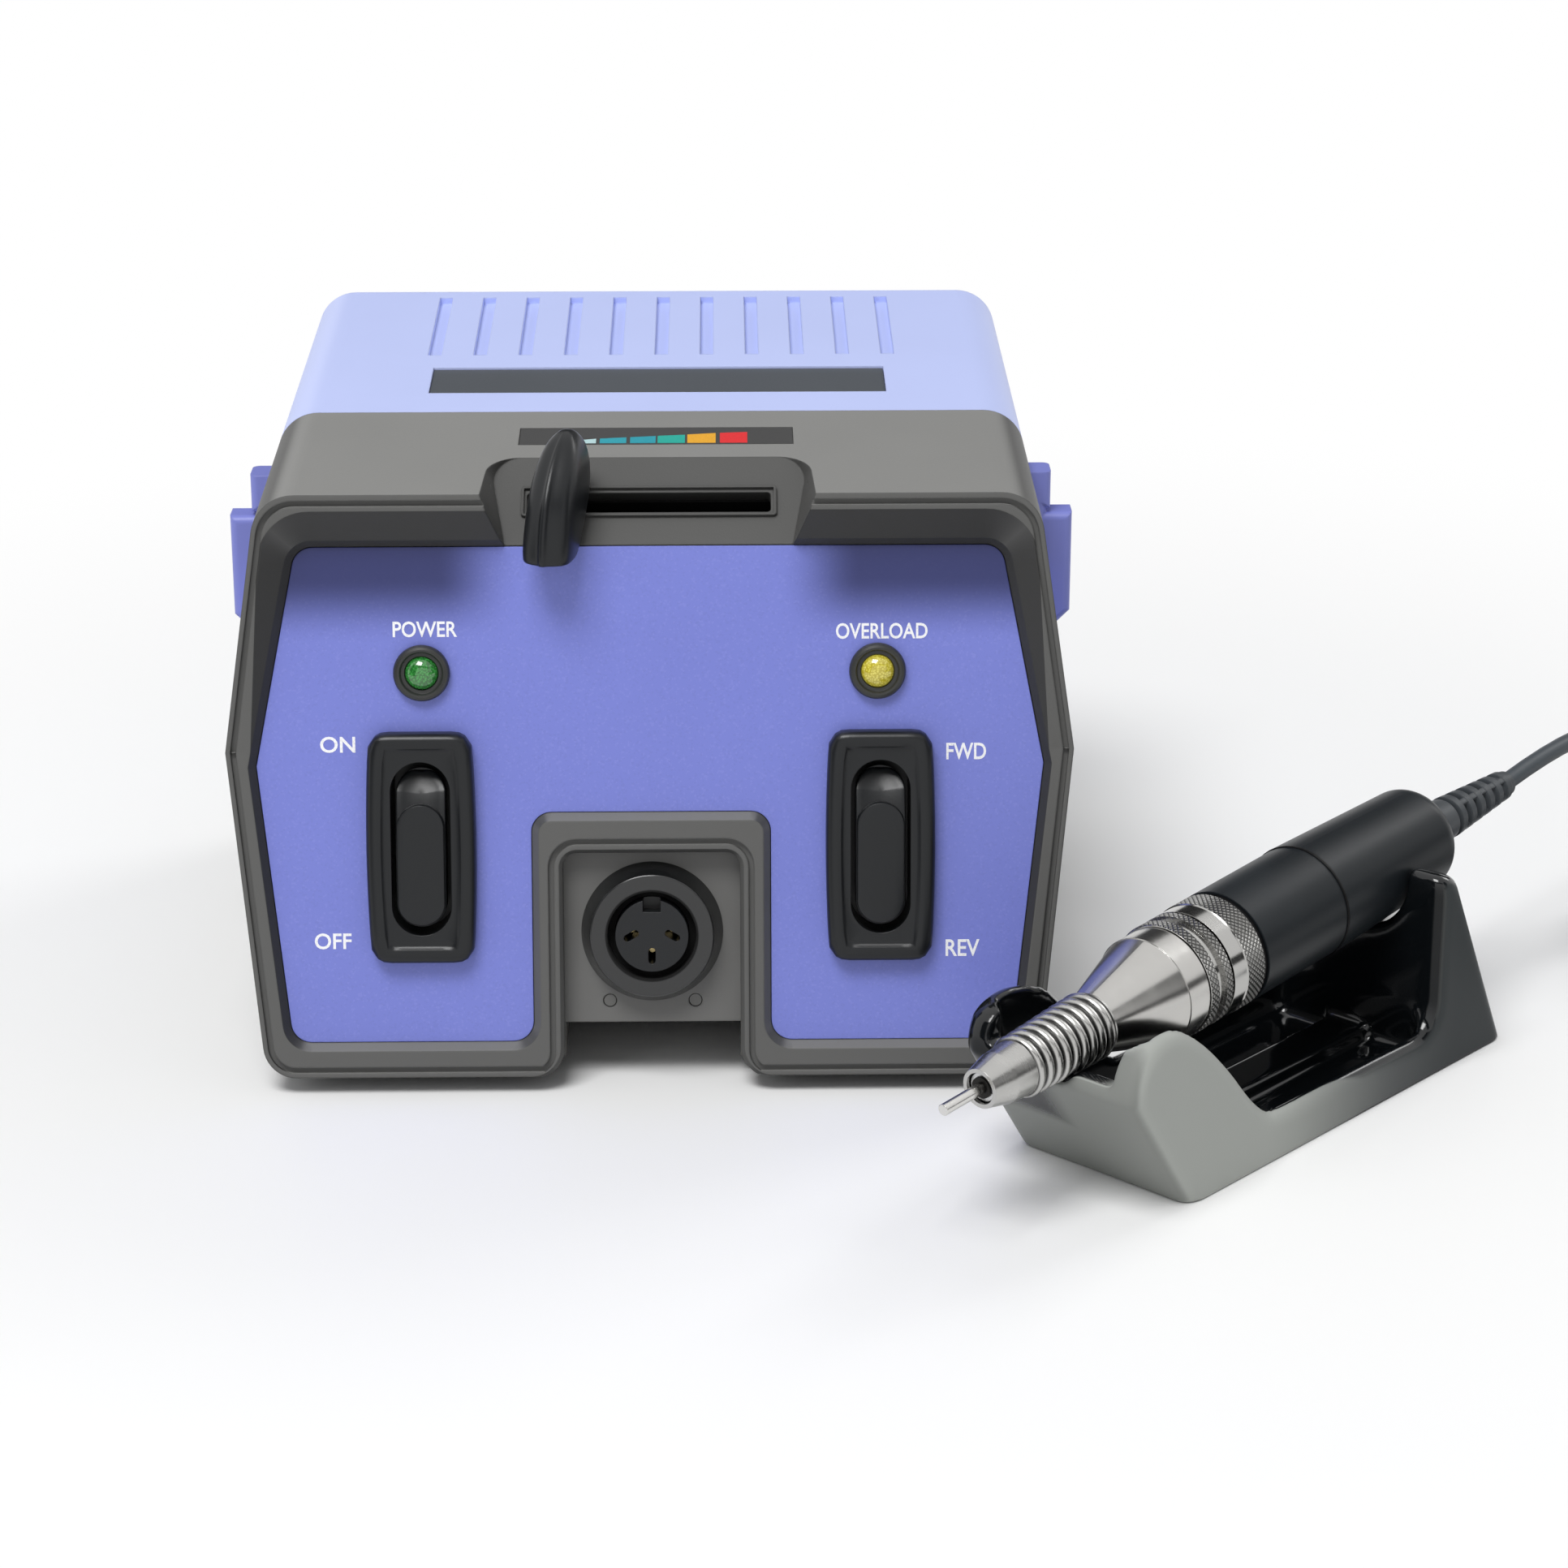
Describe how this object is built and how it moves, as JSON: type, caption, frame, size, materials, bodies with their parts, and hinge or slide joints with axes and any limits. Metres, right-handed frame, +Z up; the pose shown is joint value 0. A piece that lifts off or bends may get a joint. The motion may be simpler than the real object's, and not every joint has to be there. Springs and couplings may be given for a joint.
{
  "type": "electric nail drill",
  "caption": "Electric nail drill: control box with speed slider, power and direction rockers and socket, corded handpiece resting in a cradle.",
  "frame": {"origin": "on the floor, at the bottom centre of the box, handpiece and cradle, without the cord", "axes": "+Z up, the control box's front towards -Y, +X to the right seen from the front"},
  "size_m": [0.3842, 0.2505, 0.1367],
  "materials": {
    "bezel_grey": "fine texture",
    "panel_blue": "satin with a fine sparkle",
    "cover_lavender": "satin",
    "scale_label": "printed",
    "strip_grey": "matt",
    "case_grey": "fine texture",
    "switch_black": "half gloss",
    "lens_green": "clear tint",
    "lens_yellow": "clear tint",
    "bracket_blue": "satin",
    "foot_rubber": "matt",
    "steel": "plain",
    "core_steel": "laminated",
    "copper": "wound wire",
    "board_green": "solder mask",
    "sink_aluminium": "plain",
    "contact_brass": "plain",
    "nose_chrome": "polished",
    "grip_black": "satin",
    "seal_black": "half gloss",
    "relief_rubber": "satin",
    "cradle_grey": "satin front, glossy black inside",
    "cord_grey": "satin"
  },
  "bodies": {
    "set": {"front_bezel": "bezel_grey", "speed_scale": "scale_label", "front_panel": "panel_blue", "top_cover": "cover_lavender", "top_strip": "strip_grey", "lower_case": "case_grey", "socket_plate": "bezel_grey", "socket_shell": "switch_black", "socket_core": "switch_black", "socket_contacts": "contact_brass", "socket_nut": "steel", "socket_plate_screws": "steel", "power_switch": "switch_black", "direction_switch": "switch_black", "lamp_holders": "switch_black", "power_lens": "lens_green", "overload_lens": "lens_yellow", "speed_potentiometer": "switch_black", "left_bracket": "bracket_blue", "right_bracket": "bracket_blue", "rubber_feet": "foot_rubber", "case_screws": "steel", "transformer_core": "core_steel", "transformer_winding": "copper", "circuit_board": "board_green", "capacitors": "strip_grey", "heat_sink": "sink_aluminium", "mains_inlet": "switch_black", "inlet_pins": "contact_brass", "fuse_holder": "switch_black", "fuse_cap": "switch_black", "pedal_jack": "switch_black", "jack_nut": "steel", "cradle": "cradle_grey", "handpiece_cord": "cord_grey", "cord_coil": "cord_grey", "cord_tail": "cord_grey", "cord_tie": "seal_black", "plug_body": "switch_black", "plug_shell": "steel", "plug_pins": "contact_brass"},
    "speed_lever": {"speed_lever": "switch_black", "potentiometer_slider": "strip_grey"},
    "power_rocker": {"power_rocker": "switch_black"},
    "direction_rocker": {"direction_rocker": "switch_black"},
    "handpiece": {"nose_sleeve": "nose_chrome", "cone_sleeve": "nose_chrome", "knurled_collar": "nose_chrome", "seal_ring": "seal_black", "front_grip": "grip_black", "rear_housing": "grip_black", "motor_magnet": "core_steel", "carbon_brushes": "strip_grey", "spindle_bearings": "steel", "strain_relief": "relief_rubber"},
    "spindle": {"bit_shank": "steel", "collet": "steel", "spindle_shaft": "steel", "armature": "copper"},
    "lock_ring": {"lock_ring": "nose_chrome"}
  },
  "joints": [
    {"name": "speed_lever_slide", "type": "slide", "parent": "set", "child": "speed_lever", "axis": [1, 0, 0], "range_m": [0, 0.041]},
    {"name": "power_rocker_tilt", "type": "hinge", "parent": "set", "child": "power_rocker", "pos_m": [-0.0983, -0.03248, 0.05086], "axis": [1, 0, 0], "range_deg": [0, 14]},
    {"name": "direction_rocker_tilt", "type": "hinge", "parent": "set", "child": "direction_rocker", "pos_m": [-0.0027, -0.03248, 0.05086], "axis": [1, 0, 0], "range_deg": [0, 14]},
    {"name": "handpiece_lift", "type": "slide", "parent": "set", "child": "handpiece", "axis": [0, 0, 1], "range_m": [0, 0.06]},
    {"name": "spindle_spin", "type": "hinge", "parent": "handpiece", "child": "spindle", "pos_m": [0.0134, -0.1166, 0.0322], "axis": [0.6857, 0.7244, 0.0715], "continuous": true},
    {"name": "lock_ring_turn", "type": "hinge", "parent": "handpiece", "child": "lock_ring", "pos_m": [0.0134, -0.1166, 0.0322], "axis": [0.6857, 0.7244, 0.0715], "range_deg": [0, 60]}
  ]
}
